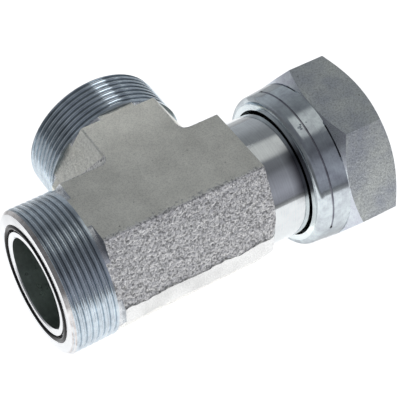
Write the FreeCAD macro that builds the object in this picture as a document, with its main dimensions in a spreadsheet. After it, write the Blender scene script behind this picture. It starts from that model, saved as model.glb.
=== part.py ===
"""O-ring face seal tee with a crimped swivel nut, size 24, in millimetres.

The run lies along X and the branch along +Y, and the three port axes cross at the origin. Z is up, square
to the plane of the tee. The male run end points to -X, the male branch end to +Y and the nut to +X.
"""
import FreeCAD, Part
import os

import Sketcher

NODES_FOLDER = "parts"
SAME_PLACE = 0.001
X_AXIS = FreeCAD.Vector(1, 0, 0)
Y_AXIS = FreeCAD.Vector(0, 1, 0)
Z_AXIS = FreeCAD.Vector(0, 0, 1)
REMOVING = ("PartDesign::Groove", "PartDesign::Pocket", "PartDesign::Fillet")

# Driving sizes: the name of each is its alias in the sheet.
SIZES = [
    ("bore", 32.0, "flow bore of all three ports, diameter"),
    ("bore_chamfer", 0.4, "chamfer where a bore meets a sealing face"),
    ("flats", 48.5, "forging, across its flats"),
    ("land_height", 6.0, "height of the trimmed parting land on the forging's sides"),
    ("land_corner", 6.0, "plan radius of the parting land's corners on the nut side"),
    ("forged_edge", 0.8, "rounding of the forging's outer edges"),
    ("forged_corner", 3.0, "rounding of the inner corners between run and branch"),
    ("male_reach", 50.0, "centre to the sealing face of a male end"),
    ("thread_diameter", 50.8, "male thread 2-12 UN, over its crests"),
    ("thread_span", 16.4, "male thread, from the sealing face to the forging"),
    ("thread_chamfer", 1.2, "chamfer on the first turn of a male thread"),
    ("turned_diameter", 50.2, "collar turned from the forging's corners beside a thread"),
    ("turned_span", 1.8, "length of the turned collar"),
    ("groove_outside", 41.54, "face groove, outer diameter"),
    ("groove_inside", 36.3, "face groove, inner diameter"),
    ("groove_depth", 1.35, "depth of the face groove"),
    ("ring_section", 1.78, "o-ring, section diameter"),
    ("ring_clearance", 0.08, "gap between an o-ring and its groove's outer wall and floor"),
    ("hex_reach", 27.8, "centre to the end of the forging on the nut side"),
    ("neck_diameter", 44.6, "turned neck between the forging and the flange"),
    ("swivel_reach", 55.5, "centre to the flat sealing face of the flange"),
    ("flange_diameter", 47.6, "flange that the nut pulls on"),
    ("flange_length", 6.6, "straight part of the flange"),
    ("flange_chamfer", 0.5, "chamfer round the flat sealing face"),
    ("nut_flats", 57.15, "nut, across its flats"),
    ("nut_start", 42.5, "centre to the nut's crimped rear end"),
    ("nut_length", 31.6, "nut, end to end"),
    ("nut_turn", 4.3, "turn of the nut from a flat on top, degrees"),
    ("skirt_length", 11.8, "rear end of the nut to the start of its hexagon"),
    ("skirt_diameter", 56.8, "nut's skirt beside the hexagon"),
    ("crimp_diameter", 55.2, "nut's skirt at its crimped end"),
    ("crimp_round", 2.4, "outer rounding of the crimped end"),
    ("crimp_hole", 46.4, "hole that is left round the neck"),
    ("crimp_mark_reach", 5.2, "rear end of the nut to the mark of the crimping tool"),
    ("crimp_mark_width", 0.7, "width of the mark of the crimping tool"),
    ("crimp_mark_depth", 0.25, "depth of the mark of the crimping tool"),
    ("running_gap", 0.05, "radial gap between the flange and the nut"),
    ("nut_float", 0.4, "gap along the axis between the flange's bevel and the nut's"),
    ("nut_thread_bore", 48.54, "nut's thread 2-12 UN, over its crests"),
    ("nut_thread_inset", 1.5, "flat sealing face to the start of the nut's thread"),
    ("nut_mouth", 51.4, "diameter of the nut's mouth chamfer"),
    ("nut_chamfer_circle", 54.4, "diameter where the front chamfer meets the nut's end"),
    ("nut_chamfer_angle", 30.0, "angle of the hexagon's chamfers from the end face, degrees"),
    ("overcut", 1.0, "how far a cut runs past the face it opens on"),
]

# Lengths that several profiles share, worked out from the sizes.
HALF_FLATS = "sizes.flats / 2"
HALF_FACE = "sizes.flats / 2 * tan(30)"
LAND_OUT = "(sizes.flats / 2 - sizes.land_height / 4) / sin(60)"
HEX_END = "(sizes.male_reach - sizes.thread_span)"
FLANGE_BACK = "(sizes.swivel_reach - sizes.flange_length)"
NUT_END = "(sizes.nut_start + sizes.nut_length)"
NUT_HEX = "(sizes.nut_start + sizes.skirt_length)"
NUT_CORNER = "(sizes.nut_flats / 2 / cos(30))"
POCKET = "(sizes.flange_diameter / 2 + sizes.running_gap)"
NUT_BEVEL = "(" + FLANGE_BACK + " - sizes.nut_float)"


def make_sheet(doc):
    """The sheet of driving sizes, one row for each."""
    sheet = doc.addObject("Spreadsheet::Sheet", "sizes")
    for row, (alias, value, note) in enumerate(SIZES, start=1):
        sheet.set(f"A{row}", alias)
        sheet.set(f"B{row}", str(value))
        sheet.set(f"C{row}", note)
        sheet.setAlias(f"B{row}", alias)
    doc.recompute()
    return sheet


def value_of(doc, expression):
    """The number that an expression over the sheet gives now."""
    number = doc.sizes.evalExpression(expression)
    return float(getattr(number, "Value", number))


def make_body(doc, label):
    body = doc.addObject("PartDesign::Body", label)
    body.Label = label
    return body


def origin_plane(body, role):
    return next(item for item in body.Origin.OriginFeatures if item.Role == role)


def add_profile(body, name, plane, corners, offset=None):
    """A closed outline through corners, each a pair of expressions, held by one distance each way.

    A corner with a third item, the expressions of a centre, starts an arc round it to the next corner.
    """
    doc = body.Document
    sketch = body.newObject("Sketcher::SketchObject", name)
    sketch.AttachmentSupport = (origin_plane(body, plane), [""])
    sketch.MapMode = "FlatFace"
    if offset:
        sketch.setExpression(".AttachmentOffset.Base.z", offset)
    points = [FreeCAD.Vector(value_of(doc, corner[0]), value_of(doc, corner[1]), 0) for corner in corners]
    count = len(points)
    first_end, last_end = [1] * count, [2] * count
    for index, start in enumerate(points):
        end = points[(index + 1) % count]
        if len(corners[index]) == 2:
            sketch.addGeometry(Part.LineSegment(start, end))
            continue
        centre = FreeCAD.Vector(*(value_of(doc, item) for item in corners[index][2]), 0)
        if (start - centre).cross(end - centre).z < 0:
            first_end[index], last_end[index] = 2, 1
            start, end = end, start
        circle = Part.Circle(centre, FreeCAD.Vector(0, 0, 1), (start - centre).Length)
        sketch.addGeometry(Part.ArcOfCircle(circle, circle.parameter(start), circle.parameter(end)))
    for index in range(count):
        following = (index + 1) % count
        ends = (index, last_end[index], following, first_end[following])
        sketch.addConstraint(Sketcher.Constraint("Coincident", *ends))
    for index, corner in enumerate(corners):
        hold_point(sketch, index, first_end[index], points[index], corner[:2])
        if len(corner) == 3:
            centre = sketch.Geometry[index].Center
            hold_point(sketch, index, 3, centre, corner[2][:1])
    return sketch


def hold_point(sketch, geometry, vertex, point, expressions):
    """Tie a point of the sketch to its expressions: across first, then up."""
    kinds = (("DistanceX", -2, point.x), ("DistanceY", -1, point.y))
    for (kind, axis, place), expression in zip(kinds, expressions):
        if expression == "0":
            sketch.addConstraint(Sketcher.Constraint("PointOnObject", geometry, vertex, axis))
            continue
        number = sketch.addConstraint(Sketcher.Constraint(kind, -1, 1, geometry, vertex, place))
        sketch.setExpression(f"Constraints[{number}]", expression)


def add_prism(body, name, sketch, length, reverse=False):
    pad = body.newObject("PartDesign::Pad", name)
    pad.Profile = sketch
    pad.setExpression("Length", length)
    pad.Reversed = reverse
    body.Document.recompute()
    return pad


def add_turned(body, name, corners, axis="H_Axis", cut=False):
    """A full turn of an outline in the XY plane: H_Axis turns it about X, V_Axis about Y."""
    sketch = add_profile(body, name + "_outline", "XY_Plane", corners)
    turned = body.newObject("PartDesign::Groove" if cut else "PartDesign::Revolution", name)
    turned.Profile = sketch
    turned.ReferenceAxis = (sketch, [axis])
    turned.Angle = 360
    body.Document.recompute()
    return turned


def edges_where(shape, test):
    """Names of the edges whose middle point and direction pass the test."""
    names = []
    for number, edge in enumerate(shape.Edges, start=1):
        middle = edge.valueAt((edge.FirstParameter + edge.LastParameter) / 2)
        if test(edge, middle):
            names.append(f"Edge{number}")
    return names


def add_fillet(body, name, base, names, radius):
    fillet = body.newObject("PartDesign::Fillet", name)
    fillet.Base = (base, names)
    fillet.setExpression("Radius", radius)
    body.Document.recompute()
    return fillet


def section_corners():
    """The forging's section: a hexagon with flats above and below, and its side corners trimmed."""
    face, flat = HALF_FACE, HALF_FLATS
    out, land = LAND_OUT, "sizes.land_height / 2"
    quarter = [(face, flat), (out, land)]
    lower = [(x, f"-({z})") for x, z in reversed(quarter)]
    right = quarter + lower
    left = [(f"-({x})", z) for x, z in reversed(right)]
    return right + left


def swapped(corners):
    """The same outline about Y in place of X."""
    return [(y, x) for x, y in corners]


def male_end(sign):
    """Outline of a threaded end, along the run: its thread is plain here, over its crests."""
    face = f"{sign}sizes.male_reach"
    end = f"{sign}{HEX_END}"
    start = f"{sign}(sizes.male_reach - sizes.thread_chamfer)"
    crest = "sizes.thread_diameter / 2"
    return [(face, "0"), (face, f"{crest} - sizes.thread_chamfer"), (start, crest), (end, crest), (end, "0")]


def turned_corner(sign):
    """Outline of what turning takes off the forging's corners beside a thread."""
    near = f"{sign}({HEX_END} - sizes.turned_span)"
    far = f"{sign}{HEX_END}"
    low, high = "sizes.turned_diameter / 2", f"{LAND_OUT} + {HALF_FACE}"
    return [(near, low), (far, low), (far, high), (near, high)]


def face_groove(sign):
    floor = f"{sign}(sizes.male_reach - sizes.groove_depth)"
    mouth = f"{sign}(sizes.male_reach + sizes.overcut)"
    low, high = "sizes.groove_inside / 2", "sizes.groove_outside / 2"
    return [(floor, low), (mouth, low), (mouth, high), (floor, high)]


def bore_end(face, sign):
    """The corners that open a bore on a sealing face, from the bore to past the face."""
    wall, mouth = "sizes.bore / 2", "sizes.bore / 2 + sizes.bore_chamfer"
    inside = f"{sign}({face} - sizes.bore_chamfer)"
    return [(inside, wall), (f"{sign}{face}", mouth), (f"{sign}({face} + sizes.overcut)", mouth)]


def inner_corner(across):
    """Plan of the blend in a corner between run and branch: across is the sign of its side along X."""
    root, far = f"({LAND_OUT} - sizes.overcut)", f"({LAND_OUT} + sizes.forged_corner)"
    inner, side, end = f"{across}{root}", f"{across}{LAND_OUT}", f"{across}{far}"
    return [(inner, root), (end, root), (end, LAND_OUT, (end, far)), (side, far), (inner, far)]


def land_corner():
    """Plan of what the parting land lacks at its free corner, on the nut side."""
    side, edge = f"-{LAND_OUT}", f"-({LAND_OUT} - sizes.land_corner)"
    inner, clear = "(sizes.hex_reach - sizes.land_corner)", "(sizes.hex_reach + sizes.overcut)"
    beyond = f"-({LAND_OUT} + sizes.overcut)"
    return [("sizes.hex_reach", edge, (inner, edge)), (inner, side), (inner, beyond), (clear, beyond),
            (clear, edge)]


def shoulder():
    """Outline of what facing the shoulder takes off the corner blends that pass it."""
    reach, clear = "sizes.hex_reach", f"{LAND_OUT} + sizes.forged_corner + sizes.overcut"
    return [(reach, "0"), (reach, clear), (clear, clear), (clear, "0")]


def add_inner_corners(body):
    """Blends between the branch's sides and the run's: upright beside the land, leaning beside the slopes."""
    land, lean = "sizes.land_height / 2", f"({LAND_OUT} - {HALF_FACE})"
    rise = "(sizes.flats / 2 - sizes.land_height / 2)"
    for side, across in (("left", "-"), ("right", "")):
        plan = inner_corner(across)
        upright = add_profile(body, f"{side}_land_plan", "XY_Plane", plan, offset=f"-{land}")
        add_prism(body, f"{side}_land_corner", upright, "sizes.land_height")
        for level, up in (("lower", "-"), ("upper", "")):
            name = f"{level}_{side}"
            sketch = add_profile(body, f"{name}_plan", "XY_Plane", plan, offset=f"{up}{land}")
            pad = add_prism(body, f"{name}_corner", sketch, rise)
            pad.UseCustomVector = True
            pad.AlongSketchNormal = True
            toward = "" if across else "-"
            pad.setExpression("Direction.x", f"{toward}{lean}")
            pad.setExpression("Direction.y", f"-{lean}")
            pad.setExpression("Direction.z", f"{up}{rise}")
            body.Document.recompute()


def add_land_end(body):
    """Round off, in plan, the parting land's free corner."""
    plan = add_profile(body, "land_end_plan", "XY_Plane", land_corner())
    pocket = body.newObject("PartDesign::Pocket", "land_end")
    pocket.Profile = plan
    pocket.Midplane = True
    pocket.setExpression("Length", "sizes.flats")
    body.Document.recompute()


def is_forged_edge(doc):
    """The test for the long outer edges of the forging's upper and lower flats."""
    level = value_of(doc, HALF_FLATS)
    ends = (value_of(doc, HEX_END), value_of(doc, "sizes.hex_reach"))

    def test(edge, middle):
        flat = all(abs(abs(vertex.Z) - level) < SAME_PLACE for vertex in edge.Vertexes)
        on_end = (abs(middle.x + ends[0]) < SAME_PLACE or abs(middle.y - ends[0]) < SAME_PLACE
                  or abs(middle.x - ends[1]) < SAME_PLACE)
        return flat and not on_end

    return test


def make_tee_body(doc):
    """The forging with everything that is turned on it."""
    body = make_body(doc, "tee_body")
    run = add_profile(body, "run_section", "YZ_Plane", section_corners(), offset=f"-{HEX_END}")
    add_prism(body, "run_forging", run, f"{HEX_END} + sizes.hex_reach")
    branch = add_profile(body, "branch_section", "XZ_Plane", section_corners())
    add_prism(body, "branch_forging", branch, HEX_END, reverse=True)
    add_inner_corners(body)
    add_turned(body, "shoulder", shoulder(), cut=True)
    add_land_end(body)
    rough = body.Tip
    outer = edges_where(rough.Shape, is_forged_edge(doc))
    add_fillet(body, "forged_edges", rough, outer, "sizes.forged_edge")
    add_turned(body, "run_collar", turned_corner("-"), cut=True)
    add_turned(body, "branch_collar", swapped(turned_corner("")), axis="V_Axis", cut=True)
    add_turned(body, "run_end", male_end("-"))
    add_turned(body, "branch_end", swapped(male_end("")), axis="V_Axis")
    add_turned(body, "neck_and_flange", neck_and_flange())
    run_bore = bore_end("sizes.male_reach", "-")[::-1] + bore_end("sizes.swivel_reach", "")
    add_turned(body, "run_bore", to_axis(run_bore), cut=True)
    branch_bore = [("0", "sizes.bore / 2")] + bore_end("sizes.male_reach", "")
    add_turned(body, "branch_bore", swapped(to_axis(branch_bore)), axis="V_Axis", cut=True)
    add_turned(body, "run_groove", face_groove("-"), cut=True)
    add_turned(body, "branch_groove", swapped(face_groove("")), axis="V_Axis", cut=True)
    return body


def to_axis(corners):
    """The outline closed down to the axis that it is turned about."""
    return [(corners[0][0], "0")] + corners + [(corners[-1][0], "0")]


def neck_and_flange():
    """Outline of the neck and of the flange that the nut pulls on, from the forging to the flat face."""
    neck, flange = "sizes.neck_diameter / 2", "sizes.flange_diameter / 2"
    face, back = "sizes.swivel_reach", FLANGE_BACK
    bevel = f"{back} - ({flange} - {neck})"
    chamfer = "sizes.flange_chamfer"
    return to_axis([("sizes.hex_reach", neck), (bevel, neck), (back, flange), (f"{face} - {chamfer}", flange),
                    (face, f"{flange} - {chamfer}")])


def make_o_ring(doc, label, along, sign, turn):
    """A ring in a face groove by its outer wall, centred on the axis named by along and turned to it."""
    ring = doc.addObject("Part::Torus", label)
    ring.Label = label
    ring.setExpression("Radius1", "sizes.groove_outside / 2 - sizes.ring_clearance - sizes.ring_section / 2")
    ring.setExpression("Radius2", "sizes.ring_section / 2")
    ring.Placement = FreeCAD.Placement(FreeCAD.Vector(), turn)
    depth = "(sizes.male_reach - sizes.groove_depth + sizes.ring_clearance + sizes.ring_section / 2)"
    ring.setExpression(f"Placement.Base.{along}", f"{sign}{depth}")
    doc.recompute()
    return ring


def hexagon_corners():
    """The nut's hexagon with a flat on top."""
    flat, half, corner = "sizes.nut_flats / 2", "sizes.nut_flats / 2 * tan(30)", NUT_CORNER
    return [(half, flat), (corner, "0"), (half, f"-({flat})"), (f"-({half})", f"-({flat})"),
            (f"-{corner}", "0"), (f"-({half})", flat)]


def hexagon_chamfer(face, circle, outward):
    """Outline of a cut that bevels the hexagon's corners from a circle on an end face."""
    out = f"({NUT_CORNER} + sizes.overcut)"
    back = f"({out} - {circle}) * tan(sizes.nut_chamfer_angle)"
    inward = "-" if outward == "+" else "+"
    beyond = f"{face} {outward} sizes.overcut"
    return [(face, circle), (f"{face} {inward} {back}", out), (beyond, out), (beyond, circle)]


def skirt_outline():
    """Outline of the skirt, rounded at its crimped end and growing to the hexagon."""
    rear, lip, wide = "sizes.nut_start", "sizes.crimp_diameter / 2", "sizes.skirt_diameter / 2"
    turn = "sizes.crimp_round"
    centre = (f"({rear} + {turn})", f"({lip} - {turn})")
    return [(rear, "0"), (rear, f"{lip} - {turn}", centre), (f"{rear} + {turn}", lip), (NUT_HEX, wide),
            (NUT_HEX, "0")]


def crimp_mark():
    """Outline of the shallow mark that the crimping tool leaves round the skirt."""
    lip, wide = "sizes.crimp_diameter / 2", "sizes.skirt_diameter / 2"
    along = "(sizes.crimp_mark_reach - sizes.crimp_round) / (sizes.skirt_length - sizes.crimp_round)"
    floor = f"{lip} + ({wide} - {lip}) * {along} - sizes.crimp_mark_depth"
    near = "sizes.nut_start + sizes.crimp_mark_reach - sizes.crimp_mark_width / 2"
    far, clear = f"{near} + sizes.crimp_mark_width", f"{wide} + sizes.overcut"
    return [(near, floor), (far, floor), (far, clear), (near, clear)]


def nut_inside():
    """Outline of the hole round the neck, the bevel and pocket for the flange, and the thread's crests."""
    hole, crest, mouth = "sizes.crimp_hole / 2", "sizes.nut_thread_bore / 2", "sizes.nut_mouth / 2"
    bevel = f"{NUT_BEVEL} - ({POCKET} - {hole})"
    thread = "(sizes.swivel_reach + sizes.nut_thread_inset)"
    inner = f"{NUT_END} - ({mouth} - {crest})"
    return to_axis([("sizes.nut_start - sizes.overcut", hole), (bevel, hole), (NUT_BEVEL, POCKET),
                    (thread, POCKET), (thread, crest), (inner, crest), (NUT_END, mouth),
                    (f"{NUT_END} + sizes.overcut", mouth)])


def make_swivel_nut(doc):
    """The hexagon nut, its skirt crimped in behind the flange so that it turns freely and stays on."""
    body = make_body(doc, "swivel_nut")
    hexagon = add_profile(body, "hexagon_section", "YZ_Plane", hexagon_corners(), offset=NUT_HEX)
    add_prism(body, "hexagon", hexagon, "sizes.nut_length - sizes.skirt_length")
    front = hexagon_chamfer(NUT_END, "sizes.nut_chamfer_circle / 2", "+")
    rear = hexagon_chamfer(NUT_HEX, "sizes.skirt_diameter / 2", "-")
    add_turned(body, "front_chamfer", front, cut=True)
    add_turned(body, "rear_chamfer", rear, cut=True)
    add_turned(body, "skirt", skirt_outline())
    add_turned(body, "crimp_mark", crimp_mark(), cut=True)
    add_turned(body, "inside", nut_inside(), cut=True)
    turn = FreeCAD.Rotation(X_AXIS, value_of(doc, "sizes.nut_turn"))
    body.Placement = FreeCAD.Placement(FreeCAD.Vector(), turn)
    body.setExpression("Placement.Rotation.Angle", "sizes.nut_turn")
    doc.recompute()
    return body


def check_document(doc, nodes):
    """Stop on a failed object, a feature that changes nothing, or a node that isn't one sound solid."""
    for item in doc.Objects:
        if "Invalid" in item.State or "Error" in item.State:
            raise RuntimeError(f"{item.Label} failed: {item.State}")
    for body in (node for node in nodes if node.TypeId == "PartDesign::Body"):
        volume = 0.0
        for feature in (item for item in body.Group if item.isDerivedFrom("PartDesign::Feature")):
            change = feature.Shape.Volume - volume
            if (-change if feature.TypeId in REMOVING else change) <= 0:
                raise RuntimeError(f"{body.Label}: {feature.Label} changed the volume by {change}")
            volume = feature.Shape.Volume
    for node in nodes:
        shape = node.Shape
        if shape.isNull() or not shape.isValid() or len(shape.Solids) != 1:
            raise RuntimeError(f"{node.Label} isn't one sound solid")
        print(node.Label, round(shape.Volume, 1))


doc = FreeCAD.newDocument("o_ring_face_seal_tee")
make_sheet(doc)
nodes = [
    make_tee_body(doc),
    make_o_ring(doc, "run_o_ring", "x", "-", FreeCAD.Rotation(Z_AXIS, X_AXIS)),
    make_o_ring(doc, "branch_o_ring", "y", "", FreeCAD.Rotation(Z_AXIS, Y_AXIS)),
    make_swivel_nut(doc),
]
doc.recompute()
check_document(doc, nodes)
os.makedirs(NODES_FOLDER, exist_ok=True)
for node in nodes:
    node.Shape.exportStep(f"{NODES_FOLDER}/{node.Label}.step")
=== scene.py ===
"""Looks of the o-ring face seal tee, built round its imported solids. Metres, Z up, the run along X."""
import math

import bmesh
import bpy
from mathutils import Matrix, Vector, noise


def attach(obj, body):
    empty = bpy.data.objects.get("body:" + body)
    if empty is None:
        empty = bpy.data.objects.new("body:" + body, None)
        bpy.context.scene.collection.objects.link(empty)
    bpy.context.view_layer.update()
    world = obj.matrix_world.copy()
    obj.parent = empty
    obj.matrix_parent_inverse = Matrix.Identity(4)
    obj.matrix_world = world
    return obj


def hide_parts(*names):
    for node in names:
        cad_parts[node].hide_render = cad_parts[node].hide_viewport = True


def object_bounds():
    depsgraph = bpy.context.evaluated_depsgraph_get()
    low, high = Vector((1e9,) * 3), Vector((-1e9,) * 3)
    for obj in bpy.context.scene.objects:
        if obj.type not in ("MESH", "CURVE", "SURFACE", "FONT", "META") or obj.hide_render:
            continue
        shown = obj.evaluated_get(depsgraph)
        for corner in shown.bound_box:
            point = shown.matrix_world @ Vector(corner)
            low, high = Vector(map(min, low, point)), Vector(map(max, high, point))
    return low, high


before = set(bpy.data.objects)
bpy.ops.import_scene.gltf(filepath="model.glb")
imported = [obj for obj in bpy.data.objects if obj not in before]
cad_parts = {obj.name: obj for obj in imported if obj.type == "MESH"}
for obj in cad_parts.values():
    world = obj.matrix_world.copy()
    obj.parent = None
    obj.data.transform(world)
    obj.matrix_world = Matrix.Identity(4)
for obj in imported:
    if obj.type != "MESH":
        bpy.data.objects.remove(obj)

CAD_BOX = [list(corner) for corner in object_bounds()]
MM = 0.001

# In a mesh: what counts as one point, in metres, before and after the cuts, as one flat face, and as a sharp edge.
# Then how finely a ring is divided, in degrees, and a dent.
WELD, LOOSE_WELD = 1e-7, 2e-7
FLAT_ANGLE = math.radians(0.3)
CREASE_ANGLE = math.radians(24)
ARC_STEP = 2
DENT_SUBDIVISIONS = 3

# The photograph's view: the point that it centres on, and where the camera stands from there.
CAMERA_TARGET = Vector((0.01185, -0.00111, 0.00508))
CAMERA_DISTANCE = 0.4663
CAMERA_AZIMUTH = math.radians(-33.85)
CAMERA_ELEVATION = math.radians(48.2)
CAMERA_ROLL = math.radians(1.59)
CAMERA_LENS = 126.0
CAMERA_NEAREST = 0.01

# Threads, in mm: 12 turns to the inch, and half of the section between two crests as (radius, half width). A groove
# starts out of the metal by its fade, and is at its full depth after the run-out's steps.
PITCH = 25.4 / 12
MALE_SECTION = ((24.62, 0.16), (24.66, 0.3), (24.8, 0.38), (25.14, 0.52), (25.27, 0.62), (25.35, 0.76), (25.39, 0.9),
                (25.4, 1.02), (25.5, 1.03))
NUT_SECTION = ((25.4, 0.12), (25.28, 0.33), (24.27, 0.95), (24.17, 1.0))
MALE_START, MALE_STOP, MALE_FADE = 33.3, 51.2, 1.4
NUT_START, NUT_STOP, NUT_FADE = 58.2, 75.3, 1.5
STEPS_PER_TURN = 72
RUN_OUT_STEPS = 44

# The forging, in mm from where the axes cross: where its parts end along an axis, and the trimmed flash, which is
# called the land. The waves of the land's edges are (length, height).
THREAD_REACH = 33.6
FACE_REACH = 50.0
HEX_REACH = 27.8
BORE_RADIUS = 16.0
LAND_LEFT, LAND_RIGHT, LAND_ROUND = -31.75, 27.75, 6.0
LAND_FACE, LAND_TOP, LAND_LOW = 26.5, 3.35, -3.65
LAND_BEVEL, LAND_FLARE, LAND_ROOT = 0.35, 0.12, 2.5
LAND_RIPPLE, LAND_WIDENING = 0.02, 0.1
TOP_SEED, TOP_WAVES = 0.3, ((9.0, 1.0), (2.6, 0.5), (0.9, 0.2))
LOW_SEED, LOW_WAVES = 7.7, ((9.0, 0.7), (2.6, 0.4), (0.9, 0.15))
LAND_STATIONS = 220

# The nut's skirt and the crimping tool's mark on it, in mm and degrees: two jaws, each with a pit at both ends of its
# line. The blemish beside it is four dents, each as place along the run, angle and size.
SKIRT_REACH, SKIRT_RADIUS, SKIRT_SLOPE = 44.9, 27.6, 0.085
MARK_REACH, MARK_HALF, MARK_FILL = 47.7, 0.4, 0.2
JAWS, FIRST_JAW, JAW_GAP = 2, -38.0, 42.0
PIT_SIZE = (0.55, 0.55, 0.8)
BLEMISH = ((46.1, 15.5, 0.8, 0.4, 0.35), (46.9, 14, 0.35, 0.35, 0.35), (46.3, 17.2, 0.5, 0.3, 0.3),
           (49.1, 14.3, 0.25, 0.25, 0.25))

# The relief between the skirt and the hexagon, in mm and degrees. One corner of the hexagon is at CORNER, and the one
# at PLAIN_CORNER has no relief.
HEX_SIDES, CORNER, PLAIN_CORNER, CORNER_DEEP = 6, 34.3, 94.3, 0.6
RELIEF_REAR, RELIEF_KNEE, RELIEF_FRONT = 53.75, 54.1, 54.35
RELIEF_RADIUS, RELIEF_TOP = 28.45, 28.6

# Where one finish of the forging ends and the next begins, in mm.
IN_BORE = BORE_RADIUS + 0.1
FACE_START, FACE_RIM, CHAMFER_START = FACE_REACH - 2.0, 21, FACE_REACH - 1.3
THREAD_START, THREAD_RIM = THREAD_REACH - 0.5, 25.5
COLLAR_START, COLLAR_INNER, COLLAR_OUTER, SHOULDER_START = 31.0, 24.6, 25.4, 30.0
NECK_START = HEX_REACH - 0.1
LAND_BACK, LAND_HALF = -LAND_FACE + 7, 4.7
BRANCH_START = 22

# The same on the nut.
LIP_END, LIP_RIM = 46.0, 25.3
SKIRT_END, SKIRT_INNER = 54.4, 23.4
PIT_DEEP, PIT_HALF = 0.3, 1
RELIEF_DEEP, RELIEF_START = 0.25, 53
LINE_DEEP, LINE_HALF = 0.04, 0.5
NUT_THREAD_RIM, NUT_THREAD_START = 25.9, 57.0
NUT_FLAT_INNER = 27

# How squarely a face is turned to an axis, as the cosine of the angle between them.
HARDLY, SLIGHTLY, LITTLE, HALFWAY, MOSTLY, SQUARELY, LEVEL = 0.1, 0.3, 0.35, 0.5, 0.9, 0.98, 0.985

# Finishes: the sizes of their spots, in mm, the rough rim's uneven edge and height, in mm, and the painted shade and
# painted dark reflection of the nut's gap on the neck, from its edge to its middle as a cosine, and its colour.
CLOUDS, SPECKS, STAINS, FINE, DUST = 11.0, 1.1, 4.0, 0.3, 0.8
COARSE_RATIO, COARSE_HEIGHT = 2.6, 1.6
RIM_EDGE, RIM_GRAIN, RIM_RAGGED, RIM_HEIGHT = 1.6, 0.8, 1.4, 0.2
GAP_SHADE_EDGE, GAP_SHADE_MIDDLE, GAP_SHADE_COLOUR = 0.88, 0.97, (0.12, 0.12, 0.13, 1)

# The sockets of a node that mixes two colours.
FIRST_COLOUR, SECOND_COLOUR, MIXED_COLOUR = 6, 7, 2

# The white sheet under the object, in mm: half its width and depth, and how far its middle lies right of the object
# and nearer the camera. The grey table, in metres, is darker on the camera's side of two places along Y, in mm.
SHEET_WIDE, SHEET_DEEP, SHEET_RIGHT, SHEET_NEAR = 172.0, 176.0, 90.0, 24.0
TABLE_SIZE, TABLE_NEAR, TABLE_FAR = 6, -350, -150

# Distances from the sheet's middle, in halves of the sheet, run to SHADE_END. The sheet ends at 1 and the table's
# shade begins a little further, here as shares of the whole.
SHADE_END = 4
SHADE_STOPS = (0.25, 0.262, 1.0)

# The room's walls, far from the camera and on its side: shares of red and blue, and brightness by height.
FAR_WALL = (0.95, 1.07, ((0.0, 0.48), (0.21, 0.43), (0.37, 0.40), (0.51, 0.33), (0.64, 0.25), (0.745, 0.23),
                         (0.9, 0.22)))
NEAR_WALL = (0.98, 1.14, ((0.0, 0.27), (0.11, 0.32), (0.265, 0.385), (0.416, 0.345), (0.554, 0.30), (0.675, 0.25),
                          (0.775, 0.125), (0.9, 0.15)))
LEFT_COLOUR = (0.17, 0.175, 0.185, 1)
GLOW_COLOUR = (1.0, 1.0, 0.95, 1)

# Where the room changes: a direction, the cosines from which and up to which the change grows, and how far it goes.
CAMERA_SIDE = ((-0.557, -0.83, 0), -0.5, 0.5, 1.0)
LEFT_SIDE = ((-1, 0, 0), 0.4, 0.75, 1.0)
WIDE_GLOW = ((0.371, 0.107, 0.922), 0.9336, 0.985, 0.4)
SMALL_GLOW = ((0.80, 0.17, 0.575), 0.996, 0.9985, 2.0)

# Where small lights stand in a grid over the branch's thread, along X and along Y, and how high they stand.
GLINT_ALONG, GLINT_OUTWARD = (0.064, 0.09, 0.116), (0.056, 0.084, 0.112)
LIGHT_HEIGHT = 0.201


def closed_loft(name, rings, endless=False):
    """A closed mesh through rings of points in mm, with flat ends unless it is endless."""
    built = bmesh.new()
    rows = [[built.verts.new(Vector(point) * MM) for point in ring] for ring in rings]
    for low, high in zip(rows, rows[1:] + rows[:1] if endless else rows[1:]):
        for index in range(len(low)):
            after = (index + 1) % len(low)
            built.faces.new((low[index], low[after], high[after], high[index]))
    if not endless:
        built.faces.new(rows[0])
        built.faces.new(rows[-1])
    bmesh.ops.recalc_face_normals(built, faces=built.faces)
    return placed(name, built)


def placed(name, built):
    """An object of the scene with the mesh that was built."""
    mesh = bpy.data.meshes.new(name)
    built.to_mesh(mesh)
    built.free()
    item = bpy.data.objects.new(name, mesh)
    bpy.context.scene.collection.objects.link(item)
    return item


def helix_groove(name, outward, half, start, stop, fade):
    """The space between the turns of a right-hand thread along outward. It starts out of the metal by fade."""
    outward = Vector(outward)
    up = Vector((0, 0, 1))
    across = outward.cross(up)
    side = math.copysign(1.0, half[-1][0] - half[0][0])
    section = [(radius, -wide) for radius, wide in reversed(half)] + list(half)
    rings = []
    for step in range(int((stop - start) / PITCH * STEPS_PER_TURN) + 1):
        angle = 2 * math.pi * step / STEPS_PER_TURN
        radial = up * math.cos(angle) + across * math.sin(angle)
        lift = side * fade * max(0.0, 1 - step / RUN_OUT_STEPS)
        along = start + PITCH * step / STEPS_PER_TURN
        rings.append([outward * (along + shift) + radial * (radius + lift) for radius, shift in section])
    return closed_loft(name, rings)


def male_groove(name, outward):
    return helix_groove(name, outward, MALE_SECTION, MALE_START, MALE_STOP, MALE_FADE)


def round_run(angle):
    """The direction away from the run's axis at an angle in degrees, from +Z towards -Y."""
    angle = math.radians(angle)
    return Vector((0, -math.sin(angle), math.cos(angle)))


def arc(name, start, stop, section):
    """A bar round the run's axis between two angles, or a full ring. Its section at an angle is (x, radius) in mm."""
    steps = math.ceil((stop - start) / ARC_STEP)
    whole = stop - start >= 360
    angles = [start + (stop - start) * step / steps for step in range(steps if whole else steps + 1)]
    return closed_loft(name, [[Vector((x, 0, 0)) + round_run(angle) * radius for x, radius in section(angle)]
                              for angle in angles], whole)


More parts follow.
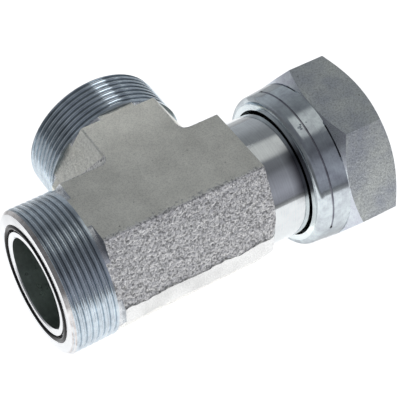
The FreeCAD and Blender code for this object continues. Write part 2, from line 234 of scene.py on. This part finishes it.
def corner_relief(angle):
    """The relief between the skirt and the hexagon, which only goes deep at the hexagon's corners, but one."""
    deep = CORNER_DEEP * math.sqrt(max(0.0, math.cos(math.radians(HEX_SIDES * (angle - CORNER)))))
    if abs(angle - PLAIN_CORNER) < 180 / HEX_SIDES:
        deep = 0
    floor = RELIEF_RADIUS - deep
    return ((RELIEF_REAR, RELIEF_RADIUS), (RELIEF_KNEE, floor), (RELIEF_FRONT, floor), (RELIEF_FRONT, RELIEF_TOP),
            (RELIEF_REAR, RELIEF_TOP))


def wave(place, seed, waves):
    """A smooth uneven line: for each (length, height) of waves, noise of that length and height in mm."""
    return sum(height * noise.noise(Vector((place / length, seed, 0))) for length, height in waves)


def land_block():
    """The trimmed flash: a band that stands a little proud of the slopes, with uneven edges."""
    rings = []
    for step in range(LAND_STATIONS + 1):
        x = LAND_LEFT + (LAND_RIGHT - LAND_LEFT) * step / LAND_STATIONS
        past = max(0.0, x - (LAND_RIGHT - LAND_ROUND))
        back = LAND_ROUND - math.sqrt(max(0.0, LAND_ROUND ** 2 - past ** 2))
        face = -LAND_FACE + back + LAND_RIPPLE * math.sin(x)
        bevel, root = face + LAND_BEVEL, face + LAND_ROOT
        top = LAND_TOP + wave(x, TOP_SEED, TOP_WAVES) + LAND_WIDENING * back
        low = LAND_LOW - wave(x, LOW_SEED, LOW_WAVES) - LAND_WIDENING * back
        above, below = top + LAND_FLARE, low - LAND_FLARE
        rings.append([(x, face, low), (x, face, top), (x, bevel, above), (x, root, above), (x, root, below),
                      (x, bevel, below)])
    return closed_loft("land", rings)


def dent(place, size, flat):
    """A small rounded cutter of that size in mm, squashed along flat."""
    built = bmesh.new()
    bmesh.ops.create_icosphere(built, subdivisions=DENT_SUBDIVISIONS, radius=1)
    item = placed("dent", built)
    turn = Vector(flat).to_track_quat("Z", "Y").to_matrix().to_4x4()
    item.matrix_world = (Matrix.Translation(Vector(place) * MM) @ turn
                         @ Matrix.Diagonal((*(Vector(size) * MM), 1.0)))
    return item


def skirt_radius(along):
    """The radius of the skirt's outside at a place along the run."""
    return SKIRT_RADIUS + SKIRT_SLOPE * (along - SKIRT_REACH)


def skirt_dent(along, angle, *size):
    """A cutter at a place and angle on the skirt's outside."""
    outward = round_run(angle)
    return dent(Vector((along, 0, 0)) + outward * skirt_radius(along), size, outward)


def jaw_gaps():
    """What stays plain between the jaws' lines, and the pits at the ends of the lines."""
    plain, pits = [], []
    low, high, root = MARK_REACH - MARK_HALF, MARK_REACH + MARK_HALF, SKIRT_RADIUS - MARK_FILL
    section = (low, root), (high, root), (high, skirt_radius(high)), (low, skirt_radius(low))
    for jaw in range(JAWS):
        start = FIRST_JAW + jaw * 360 / JAWS
        plain.append(arc("jaw_gap", start - JAW_GAP, start, lambda angle: section))
        pits += [skirt_dent(MARK_REACH, angle, *PIT_SIZE) for angle in (start, start - JAW_GAP)]
    return plain, pits


def piece_of(node, name, joins, cuts):
    """A copy of the CAD node with joins added and cuts taken away, which stands for it."""
    item = bpy.data.objects.new(name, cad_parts[node].data.copy())
    bpy.context.scene.collection.objects.link(item)
    welded = bmesh.new()
    welded.from_mesh(item.data)
    bmesh.ops.remove_doubles(welded, verts=welded.verts, dist=WELD)
    bmesh.ops.dissolve_limit(welded, angle_limit=FLAT_ANGLE, verts=welded.verts, edges=welded.edges)
    welded.to_mesh(item.data)
    welded.free()
    for tools, operation in ((joins, "UNION"), (cuts, "DIFFERENCE")):
        for tool in tools:
            modifier = item.modifiers.new(operation, "BOOLEAN")
            modifier.operation = operation
            modifier.solver = "EXACT"
            modifier.object = tool
    graph = bpy.context.evaluated_depsgraph_get()
    mesh = bpy.data.meshes.new_from_object(item.evaluated_get(graph))
    item.modifiers.clear()
    item.data = mesh
    for tool in (*joins, *cuts):
        bpy.data.objects.remove(tool)
    cleaned = bmesh.new()
    cleaned.from_mesh(mesh)
    bmesh.ops.remove_doubles(cleaned, verts=cleaned.verts, dist=LOOSE_WELD)
    bmesh.ops.dissolve_degenerate(cleaned, edges=cleaned.edges, dist=WELD)
    bmesh.ops.dissolve_limit(cleaned, angle_limit=FLAT_ANGLE, verts=cleaned.verts, edges=cleaned.edges)
    for face in cleaned.faces:
        face.smooth = True
    for edge in cleaned.edges:
        edge.smooth = edge.calc_face_angle(0.0) < CREASE_ANGLE
    cleaned.to_mesh(mesh)
    cleaned.free()
    return item


def dress(item, body, node, finishes, finish_of):
    """Gives each face the finish of its place, smooth shading between sharp edges, and the piece its body."""
    mesh = item.data
    custom = mesh.attributes.get("custom_normal")
    if custom:
        mesh.attributes.remove(custom)
    mesh.materials.clear()
    for finish in finishes:
        mesh.materials.append(finish)
    names = [finish.name for finish in finishes]
    for face in mesh.polygons:
        face.material_index = names.index(finish_of(face.center / MM, face.normal))
    weights = item.modifiers.new("face weights", "WEIGHTED_NORMAL")
    weights.keep_sharp = True
    weights.mode = "FACE_AREA_WITH_ANGLE"
    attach(item, body)
    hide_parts(node)


def join(tree, value, socket):
    """Links a socket's output, or sets a plain value."""
    if isinstance(value, bpy.types.NodeSocket):
        tree.links.new(value, socket)
    else:
        socket.default_value = value


def add_node(tree, kind, settings=(), **inputs):
    """A node with its settings made and its inputs linked or set. In their names an underscore stands for a space."""
    made = tree.nodes.new(kind)
    for name, value in dict(settings).items():
        setattr(made, name, value)
    for name, value in inputs.items():
        join(tree, value, made.inputs[name.replace("_", " ")])
    return made


def blend(tree, share, low, high, kind="MIX"):
    """Two colours mixed, multiplied or added."""
    mixed = add_node(tree, "ShaderNodeMix", {"data_type": "RGBA", "blend_type": kind}, Factor=share)
    join(tree, low, mixed.inputs[FIRST_COLOUR])
    join(tree, high, mixed.inputs[SECOND_COLOUR])
    return mixed.outputs[MIXED_COLOUR]


def ramp(tree, source, stops):
    """Colours along source: each stop is a place and a colour."""
    made = add_node(tree, "ShaderNodeValToRGB", Fac=source)
    elements = made.color_ramp.elements
    while len(elements) < len(stops):
        elements.new(0.5)
    for element, (at, colour) in zip(elements, stops):
        element.position = at
        element.color = (*colour, 1)
    return made.outputs["Color"]


def nearness_to(tree, direction, aim):
    """The cosine between a direction and aim."""
    made = add_node(tree, "ShaderNodeVectorMath", {"operation": "DOT_PRODUCT"}, Vector=direction)
    made.inputs[1].default_value = aim
    return made.outputs["Value"]


class Finish:
    """A node material in the making, with its textures in the object's own millimetres."""

    def __init__(self, name):
        self.material = bpy.data.materials.new(name)
        self.material.use_nodes = True
        self.tree = self.material.node_tree
        self.shader = self.tree.nodes["Principled BSDF"]
        self.place = self.node("ShaderNodeMapping", Vector=self.node("ShaderNodeTexCoord").outputs["Object"],
                               Scale=(1 / MM,) * 3).outputs["Vector"]

    def node(self, kind, settings=(), **inputs):
        return add_node(self.tree, kind, settings, **inputs)

    def grain(self, size, detail=2.0, rough=0.5, place=None):
        """Noise with spots of about that size in mm."""
        return self.node("ShaderNodeTexNoise", Vector=place or self.place, Scale=1 / size, Detail=detail,
                         Roughness=rough).outputs["Fac"]

    def along(self, axis):
        """How far a point lies along an axis."""
        return self.node("ShaderNodeSeparateXYZ", Vector=self.place).outputs[axis]

    def polar(self, axis):
        """How far a point lies along a port's axis, and away from it."""
        parts = self.node("ShaderNodeSeparateXYZ", Vector=self.place).outputs
        others = [name for name in "XYZ" if name != axis]
        flat = self.node("ShaderNodeCombineXYZ", X=parts[others[0]], Y=parts[others[1]]).outputs["Vector"]
        return parts[axis], self.node("ShaderNodeVectorMath", {"operation": "LENGTH"}, Vector=flat).outputs["Value"]

    def math(self, operation, first, second):
        made = self.node("ShaderNodeMath", {"operation": operation}, Value=first)
        join(self.tree, second, made.inputs[1])
        return made.outputs["Value"]

    def spread(self, source, low, high, start=0.3, end=0.7):
        """From low to high as source goes from start to end."""
        return self.node("ShaderNodeMapRange", Value=source, From_Min=start, From_Max=end, To_Min=low,
                         To_Max=high).outputs["Result"]

    def tint(self, source, *stops):
        return ramp(self.tree, source, stops)

    def times(self, colour, other):
        return blend(self.tree, 1.0, colour, other, "MULTIPLY")

    def bump(self, source, height, under=None, share=1.0):
        """Height in mm of source's relief, on top of the relief under, as strong as share says."""
        inputs = {"Height": source, "Distance": height * MM, "Strength": share}
        if under:
            inputs["Normal"] = under
        return self.node("ShaderNodeBump", **inputs).outputs["Normal"]

    def wear(self, **sockets):
        """Sets the shader's sockets, and gives the finished material."""
        for name, value in sockets.items():
            join(self.tree, value, self.shader.inputs[name.replace("_", " ")])
        return self.material


def grey(level):
    return (level, level, level)


def forged(name, light, dark, grain, height, roughness, contrast=1.0, rim=None):
    """Zinc plate over the as-forged skin: grain, cloudy patches and a few dark specks. A rim is rough like the slope
    below it, from one place along Y to another."""
    made = Finish(name)
    clouds = made.grain(CLOUDS, detail=3.0, rough=0.6)
    speckle = made.grain(grain, detail=3.0, rough=0.75)
    coarse = made.grain(grain * COARSE_RATIO, detail=2.0, rough=0.6)
    specks = made.grain(SPECKS, detail=1.0, rough=0.4)
    relief = made.bump(coarse, height * COARSE_HEIGHT, made.bump(speckle, height))
    skin = made.times(made.tint(clouds, (0.35, dark), (0.65, light)),
                      made.tint(speckle, (0.38, grey(1.0 - 0.5 * contrast)), (0.56, grey(1.0))))
    if rim:
        uneven = made.spread(made.grain(RIM_EDGE, detail=3.0, rough=0.7), -RIM_RAGGED, RIM_RAGGED)
        share = made.spread(made.math("ADD", made.along("Y"), uneven), 0, 1, *rim)
        rough = made.grain(RIM_GRAIN, detail=3.0, rough=0.75)
        relief = made.bump(rough, RIM_HEIGHT, relief, share)
        skin = blend(made.tree, share, skin, made.tint(rough, (0.38, grey(0.3)), (0.56, grey(0.95))))
    return made.wear(
        Base_Color=made.times(skin, made.tint(specks, (0.19, grey(0.4)), (0.23, grey(1.0)))),
        Metallic=1.0, Normal=relief, Roughness=made.spread(speckle, roughness + 0.06, roughness - 0.06))


def turned(name, axis, light, dark, roughness, marks, height, root_shade=None, root_shade_level=0.5, shade_fade_heights=None, gap_shade=None,
           edge=1.0):
    """Machined and plated: fine lines round the axis and slight stains. Painted shade darkens the thread roots between
    a pair of distances from the axis, the darkest one first, down to a given level, and fades out towards the bottom
    between two heights. Painted shade and a painted dark reflection of the nut's gap grow between two places along
    the run, at an angle. Less than 1 as edge dims what is seen at a grazing angle."""
    made = Finish(name)
    along, away = made.polar(axis)
    lines = made.grain(marks, detail=2.0, rough=0.6,
                       place=made.node("ShaderNodeCombineXYZ", X=along, Y=away).outputs["Vector"])
    stains = made.grain(STAINS, detail=4.0, rough=0.65)
    fine = made.grain(FINE, detail=2.0, rough=0.6)
    colour = made.times(made.tint(stains, (0.3, dark), (0.7, light)),
                        made.tint(lines, (0.38, grey(0.94)), (0.6, grey(1.0))))
    # Painted shade in the thread roots, fading out towards the bottom.
    if root_shade:
        level = away
        if shade_fade_heights:
            level = made.math("ADD", away, made.spread(made.along("Z"), 1, 0, *shade_fade_heights))
        share = made.spread(level, 0.1, 0.8, *root_shade)
        colour = made.times(colour, made.tint(share, (0.1, grey(root_shade_level)), (0.8, grey(1.0))))
    # Painted shade and a painted dark reflection of the nut's gap, on the neck beside it.
    if gap_shade:
        shade_start, shade_full, angle = gap_shade
        nearness = made.math("DIVIDE", nearness_to(made.tree, made.place, round_run(angle)), away)
        share = made.math("MULTIPLY", made.spread(nearness, 0, 1, GAP_SHADE_EDGE, GAP_SHADE_MIDDLE),
                          made.spread(along, 0, 1, shade_start, shade_full))
        colour = blend(made.tree, share, colour, GAP_SHADE_COLOUR)
    return made.wear(
        Base_Color=colour, Metallic=1.0, Specular_Tint=(*grey(edge), 1),
        Normal=made.bump(fine, height * 0.3, made.bump(lines, height)),
        Roughness=made.spread(stains, roughness + 0.05, roughness - 0.04))


def rubber(name):
    made = Finish(name)
    dust = made.grain(DUST, detail=3.0, rough=0.6)
    return made.wear(
        Base_Color=made.tint(dust, (0.3, (0.004, 0.004, 0.005)), (0.7, (0.012, 0.012, 0.013))),
        Roughness=made.spread(dust, 0.1, 0.2), Specular_IOR_Level=0.15,
        Normal=made.bump(made.grain(FINE), 0.004))


def port_finishes(port, axis, thread_roughness):
    """The finishes of a male end's face, chamfer, collar and thread."""
    return [
        turned(port + "_face", axis, light=(0.93, 0.94, 0.95), dark=(0.86, 0.87, 0.88), roughness=0.2, marks=0.12,
               height=0.002),
        turned(port + "_chamfer", axis, light=(0.92, 0.91, 0.90), dark=(0.46, 0.42, 0.41), roughness=0.2, marks=0.3,
               height=0.012),
        turned(port + "_collar", axis, light=(0.90, 0.92, 0.93), dark=(0.42, 0.44, 0.47), roughness=0.25, marks=0.45,
               height=0.14),
        # The thread's roots get painted shade on the thread's upper side.
        turned(port + "_thread", axis, light=(0.68, 0.76, 0.82), dark=(0.46, 0.52, 0.57), roughness=thread_roughness,
               marks=0.9, height=0.006, root_shade=(24.7, 25.2), root_shade_level=0.6, shade_fade_heights=(8, 18))]


def tee_finish(place, normal):
    """The finish of the forging at a place in mm with that normal."""
    x, y, z = place
    from_run, from_branch = math.hypot(y, z), math.hypot(x, z)
    if from_run < IN_BORE and abs(normal.x) < HALFWAY or from_branch < IN_BORE and y > 0 and abs(normal.y) < HALFWAY:
        return "bore"
    for reach, away, facing, port in ((-x, from_run, -normal.x, "run"), (y, from_branch, normal.y, "branch")):
        if reach > FACE_START and (facing > MOSTLY or away < FACE_RIM):
            return port + "_face"
        if reach > CHAMFER_START and facing > SLIGHTLY:
            return port + "_chamfer"
        if reach > THREAD_START and away < THREAD_RIM:
            return port + "_thread"
        if (reach > COLLAR_START and COLLAR_INNER < away < COLLAR_OUTER
                or facing > SQUARELY and reach > SHOULDER_START):
            return port + "_collar"
    if x > NECK_START:
        return "neck"
    if y < LAND_BACK and abs(normal.z) < LITTLE and abs(z) < LAND_HALF:
        return "trimmed_land"
    if abs(normal.z) > LEVEL:
        return "forged_flat"
    return "branch_slope" if y > BRANCH_START and abs(normal.x) > SLIGHTLY else "forged_slope"


def nut_finish(place, normal):
    """The finish of the swivel nut at a place in mm with that normal."""
    away = math.hypot(place.y, place.z)
    if place.x < LIP_END and away < LIP_RIM:
        return "rear_lip"
    if place.x < SKIRT_END and away > SKIRT_INNER:
        buried, beside = skirt_radius(place.x) - away, abs(place.x - MARK_REACH)
        # Pits and the relief's groove get a near-black finish, which is painted shade.
        if buried > PIT_DEEP and beside < PIT_HALF or buried > RELIEF_DEEP and place.x > RELIEF_START:
            return "shaded_pit"
        return "crimp_mark" if buried > LINE_DEEP and beside < LINE_HALF else "skirt"
    if away < NUT_THREAD_RIM and place.x > NUT_THREAD_START:
        return "nut_thread"
    if abs(normal.x) < HARDLY and away > NUT_FLAT_INNER:
        return "nut_flat"
    return "nut_turned"


def add_camera():
    azimuth, elevation = CAMERA_AZIMUTH, CAMERA_ELEVATION
    back = Vector((math.sin(azimuth) * math.cos(elevation), -math.cos(azimuth) * math.cos(elevation),
                   math.sin(elevation)))
    turn = (-back).to_track_quat("-Z", "Y").to_matrix() @ Matrix.Rotation(CAMERA_ROLL, 3, "Z")
    camera = bpy.data.objects.new("camera", bpy.data.cameras.new("camera"))
    camera.data.lens = CAMERA_LENS
    camera.data.clip_start = CAMERA_NEAREST
    camera.matrix_world = Matrix.Translation(CAMERA_TARGET + back * CAMERA_DISTANCE) @ turn.to_4x4()
    bpy.context.scene.collection.objects.link(camera)
    bpy.context.scene.camera = camera


def add_softbox(name, place, size, radiance, mirrored=False, only=None, aim=(0, 0, 0), spread=None):
    """A square light turned to aim. It may be mirrored in metal, light one piece only, or throw a beam of a spread,
    which is as bright in its middle as it would be without one."""
    light = bpy.data.lights.new(name, "AREA")
    light.shape = "SQUARE"
    light.size = size
    light.energy = radiance * math.pi * size * size
    if spread:
        light.spread = spread
        light.energy *= 1 - spread / 2 / math.tan(spread / 2)
    item = bpy.data.objects.new(name, light)
    item.location = place
    item.rotation_euler = (Vector(aim) - Vector(place)).to_track_quat("-Z", "Y").to_euler()
    item.visible_glossy = mirrored
    item.visible_camera = False
    if only:
        lit = bpy.data.collections.new(name + "_lit")
        lit.objects.link(only)
        item.light_linking.receiver_collection = lit
    bpy.context.scene.collection.objects.link(item)


def add_world():
    """A room that is pale at its foot, dim higher up and grey to the left, with a wide and a small glow overhead."""
    world = bpy.data.worlds.new("studio")
    world.use_nodes = True
    bpy.context.scene.world = world
    tree = world.node_tree
    direction = add_node(tree, "ShaderNodeTexCoord").outputs["Generated"]
    height = add_node(tree, "ShaderNodeSeparateXYZ", Vector=direction).outputs["Z"]
    far, near = (ramp(tree, height, [(at, (level * red, level, level * blue)) for at, level in stops])
                 for red, blue, stops in (FAR_WALL, NEAR_WALL))

    def toward(aim, low, high, top):
        """From 0 to top as a direction's nearness to aim, as a cosine, goes from low to high."""
        return add_node(tree, "ShaderNodeMapRange", {"interpolation_type": "SMOOTHSTEP"},
                        Value=nearness_to(tree, direction, aim), From_Min=low, From_Max=high,
                        To_Max=top).outputs["Result"]

    room = blend(tree, toward(*CAMERA_SIDE), far, near)
    room = blend(tree, toward(*LEFT_SIDE), room, LEFT_COLOUR)
    glow = blend(tree, 1.0, toward(*WIDE_GLOW), toward(*SMALL_GLOW), "ADD")
    warm = blend(tree, 1.0, glow, GLOW_COLOUR, "MULTIPLY")
    join(tree, blend(tree, 1.0, room, warm, "ADD"), tree.nodes["Background"].inputs["Color"])


def add_floor():
    """A white sheet, in line with the camera, on a grey table."""
    bpy.ops.mesh.primitive_plane_add(size=TABLE_SIZE, location=(0, 0, CAD_BOX[0][2]))
    floor = bpy.context.object
    floor.name = "floor"
    made = Finish("pale_table")
    square = made.node("ShaderNodeMapping", Vector=made.place, Rotation=(0, 0, -CAMERA_AZIMUTH)).outputs["Vector"]
    middle = made.node("ShaderNodeMapping", Vector=square, Scale=(1 / SHEET_WIDE, 1 / SHEET_DEEP, 0),
                       Location=(-SHEET_RIGHT / SHEET_WIDE, SHEET_NEAR / SHEET_DEEP, 0)).outputs["Vector"]
    away = made.node("ShaderNodeSeparateXYZ", Vector=made.node(
        "ShaderNodeVectorMath", {"operation": "ABSOLUTE"}, Vector=middle).outputs["Vector"]).outputs
    share = made.spread(made.math("MAXIMUM", away["X"], away["Y"]), 0, 1, 0, SHADE_END)
    nearer = made.spread(made.along("Y"), 1, 0, TABLE_NEAR, TABLE_FAR)

    def shade(*levels):
        """Greys on the sheet, beside it and far from it."""
        return made.tint(share, *((at, grey(level)) for at, level in zip(SHADE_STOPS, levels)))

    fine = made.grain(DUST)
    paper = made.tint(fine, (0.3, grey(0.80)), (0.7, grey(0.82)))
    floor.data.materials.append(made.wear(
        Base_Color=blend(made.tree, nearer, paper, made.times(paper, shade(1.0, 0.6))), Roughness=0.9,
        Emission_Color=blend(made.tree, nearer, shade(0.85, 0.33, 0.16), shade(0.85, 0.18, 0.04)),
        Emission_Strength=1.0, Normal=made.bump(fine, 0.01)))


tee = piece_of("tee_body", "forged_tee", [land_block()],
               [male_groove("run_groove", (-1, 0, 0)), male_groove("branch_groove", (0, 1, 0))])
dress(tee, "tee", "tee_body", [
    forged("forged_flat", light=(0.96, 0.95, 0.87), dark=(0.82, 0.81, 0.74), grain=0.4, height=0.025, roughness=0.48,
           contrast=0.4, rim=(-12.6, -14.2)),
    forged("forged_slope", light=(1.0, 0.99, 0.965), dark=(0.92, 0.91, 0.89), grain=0.8, height=0.22, roughness=0.34,
           contrast=1.4),
    forged("branch_slope", light=(1.0, 1.0, 0.93), dark=(1.0, 0.99, 0.90), grain=0.7, height=0.2, roughness=0.38,
           contrast=0.4),
    forged("trimmed_land", light=(0.85, 0.85, 0.84), dark=(0.71, 0.71, 0.70), grain=0.5, height=0.03, roughness=0.3,
           contrast=0.3),
    turned("bore", "X", light=(0.66, 0.72, 0.69), dark=(0.48, 0.53, 0.50), roughness=0.3, marks=1.2, height=0.02),
    # The neck gets painted shade and a painted dark reflection of the nut's gap near the nut.
    turned("neck", "X", light=(0.76, 0.79, 0.79), dark=(0.68, 0.70, 0.71), roughness=0.09, marks=0.3, height=0.003,
           gap_shade=(36.8, 40.4, 45)),
    *port_finishes("run", "X", thread_roughness=0.2),
    *port_finishes("branch", "Y", thread_roughness=0.1),
], tee_finish)

plain, pits = jaw_gaps()
nut = piece_of("swivel_nut", "swivel_nut_steel", plain,
               [helix_groove("nut_groove", (1, 0, 0), NUT_SECTION, NUT_START, NUT_STOP, NUT_FADE), *pits,
                arc("hexagon_relief", 0, 360, corner_relief), *(skirt_dent(*values) for values in BLEMISH)])
dress(nut, "nut", "swivel_nut", [
    forged("nut_flat", light=(0.73, 0.76, 0.73), dark=(0.55, 0.58, 0.62), grain=0.5, height=0.06, roughness=0.36,
           contrast=0.7),
    turned("skirt", "X", light=(0.72, 0.79, 0.81), dark=(0.47, 0.50, 0.54), roughness=0.1, marks=0.3, height=0.006,
           edge=0.6),
    # Near black: painted shade in the pits and the relief's groove.
    turned("shaded_pit", "X", light=(0.10, 0.10, 0.11), dark=(0.05, 0.05, 0.06), roughness=0.5, marks=0.3, height=0.01),
    turned("crimp_mark", "X", light=(0.40, 0.40, 0.44), dark=(0.22, 0.22, 0.25), roughness=0.35, marks=0.3,
           height=0.01),
    turned("rear_lip", "X", light=(0.80, 0.86, 0.87), dark=(0.66, 0.70, 0.72), roughness=0.2, marks=0.2,
           height=0.006),
    turned("nut_turned", "X", light=(0.68, 0.74, 0.77), dark=(0.55, 0.56, 0.64), roughness=0.24, marks=0.2,
           height=0.01),
    # The nut's thread gets painted shade in its roots.
    turned("nut_thread", "X", light=(0.66, 0.71, 0.76), dark=(0.52, 0.57, 0.63), roughness=0.2, marks=0.9,
           height=0.008, root_shade=(25.35, 25.0)),
], nut_finish)

black = rubber("black_rubber")
for node in ("run_o_ring", "branch_o_ring"):
    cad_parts[node].data.materials.clear()
    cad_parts[node].data.materials.append(black)

add_world()
add_camera()
add_softbox("overhead", place=(0.269, 0.048, 0.752), size=0.36, radiance=1.8)
for along in GLINT_ALONG:
    for outward in GLINT_OUTWARD:
        add_softbox("glint", place=(along, outward, LIGHT_HEIGHT), size=0.034, radiance=4.4, mirrored=True, only=tee,
                    aim=(0, 0.047, 0.0254), spread=math.radians(15))
add_softbox("sheen", place=(0.088, 0.082, LIGHT_HEIGHT), size=0.04, radiance=1.0, mirrored=True, only=tee,
            aim=(0.004, 0, 0.024), spread=math.radians(17))
add_floor()
bpy.context.scene.view_settings.view_transform = "Standard"
